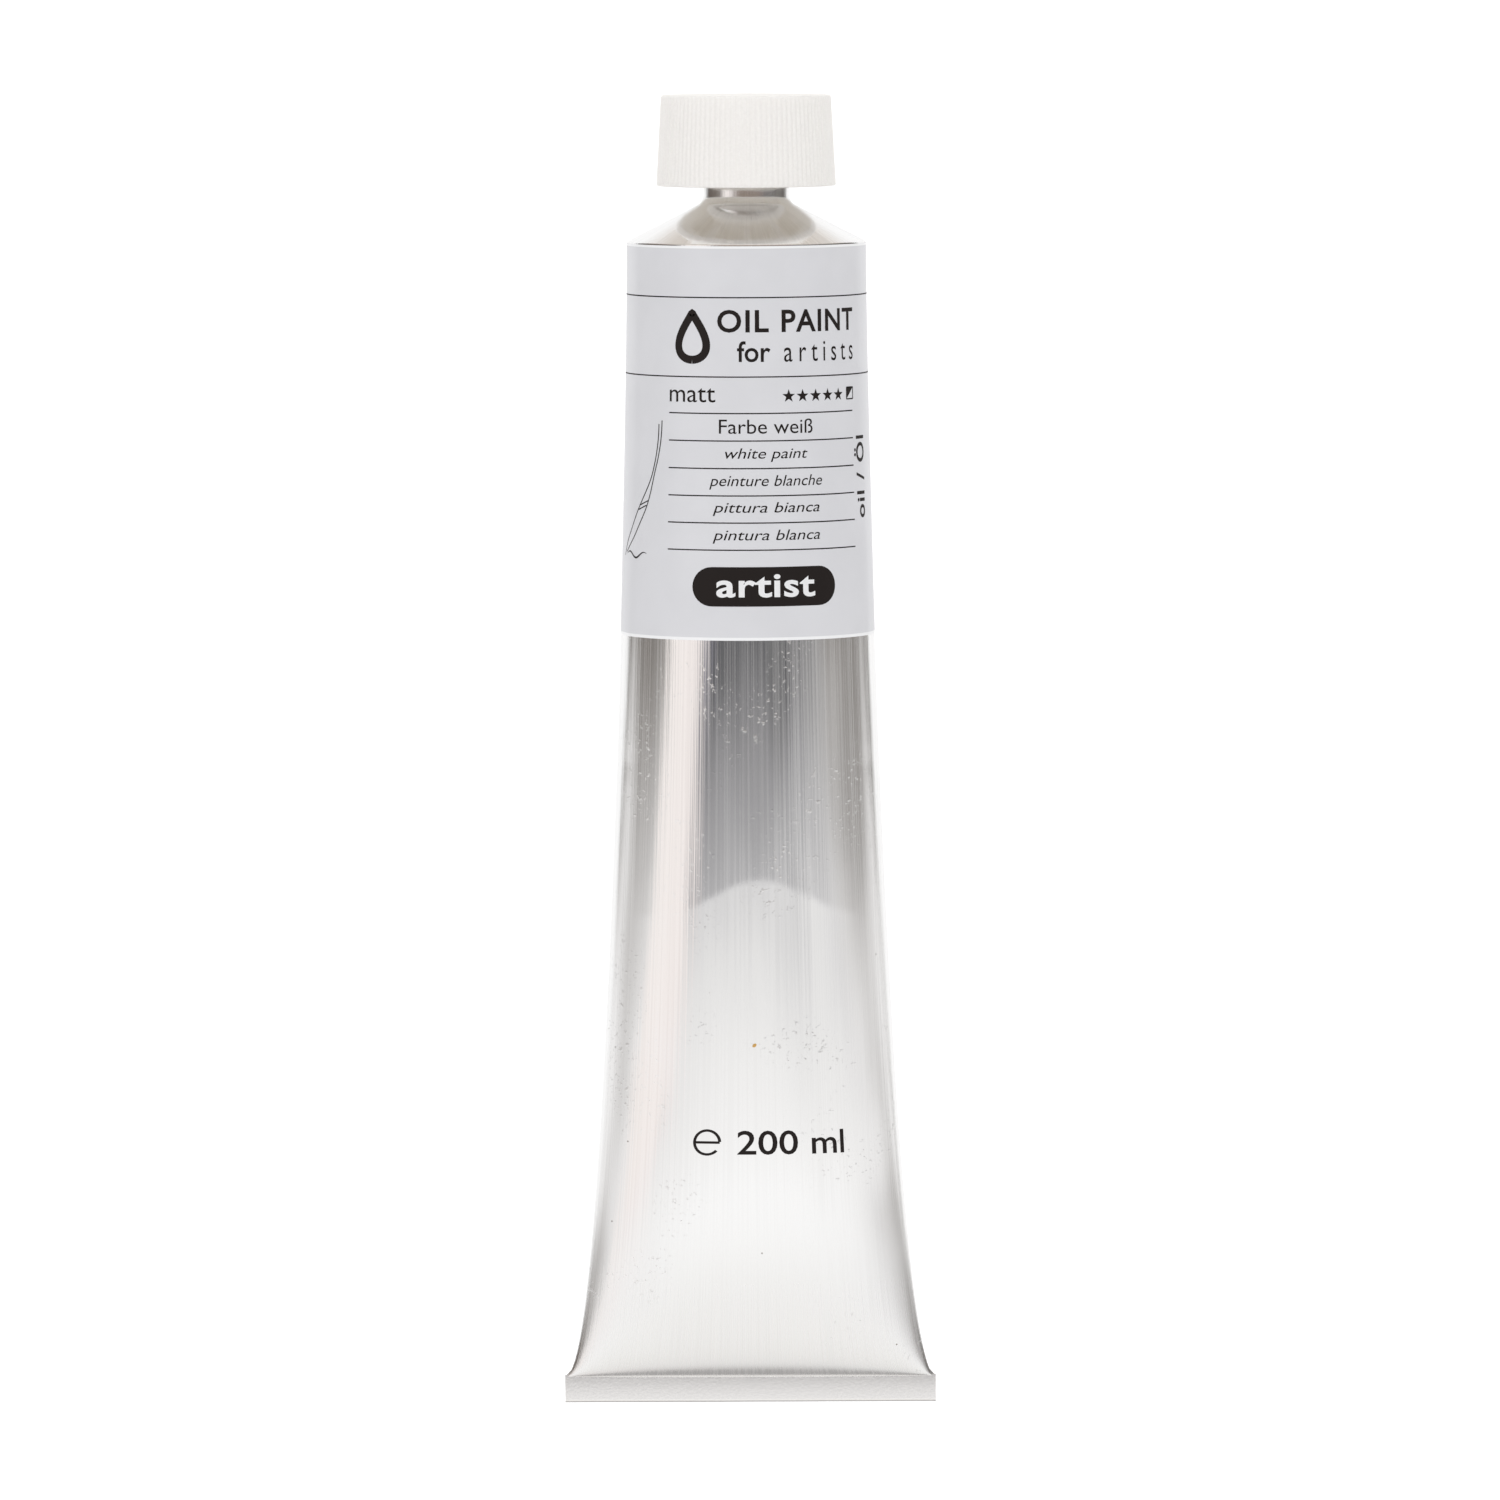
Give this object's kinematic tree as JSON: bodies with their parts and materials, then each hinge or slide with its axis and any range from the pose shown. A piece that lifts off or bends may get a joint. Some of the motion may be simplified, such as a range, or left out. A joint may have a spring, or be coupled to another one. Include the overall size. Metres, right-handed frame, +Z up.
{
  "type": "paint tube",
  "caption": "Collapsible metal tube of artists' oil paint with a threaded neck, printed band, folded flat end and ribbed screw cap, lying on its back.",
  "frame": {"origin": "under the middle of the object's box, on the table it lies on", "axes": "+Y from the folded end towards the cap, +Z up out of the printed side, +X across the folded end"},
  "size_m": [0.0628, 0.2214, 0.0415],
  "materials": {
    "bare_aluminium": "drawn, faint streaks along the tube",
    "print_band": "satin lacquer",
    "seal_compound": "dull latex",
    "oil_paint": "wet paste",
    "cap_plastic": "moulded, fine ribs",
    "liner_foam": "foamed sheet"
  },
  "bodies": {
    "tube": {"tube_shell": "bare_aluminium", "label_coat": "print_band", "end_seal": "seal_compound", "paint_fill": "oil_paint"},
    "liner": {"cap_liner": "liner_foam"},
    "cap": {"cap": "cap_plastic"}
  },
  "joints": [
    {"name": "cap_rise", "type": "slide", "parent": "tube", "child": "liner", "axis": [0, 0.9988, 0.0488], "range_m": [0, 0.01401]},
    {"name": "cap_turn", "type": "hinge", "parent": "liner", "child": "cap", "pos_m": [0, 0.10753, 0.02254], "axis": [0, 0.9988, 0.0488], "range_deg": [0, 2520]}
  ],
  "couplings": [
    {"joint": "cap_rise", "follows": "cap_turn", "m_per_rad": 0.00031831}
  ]
}
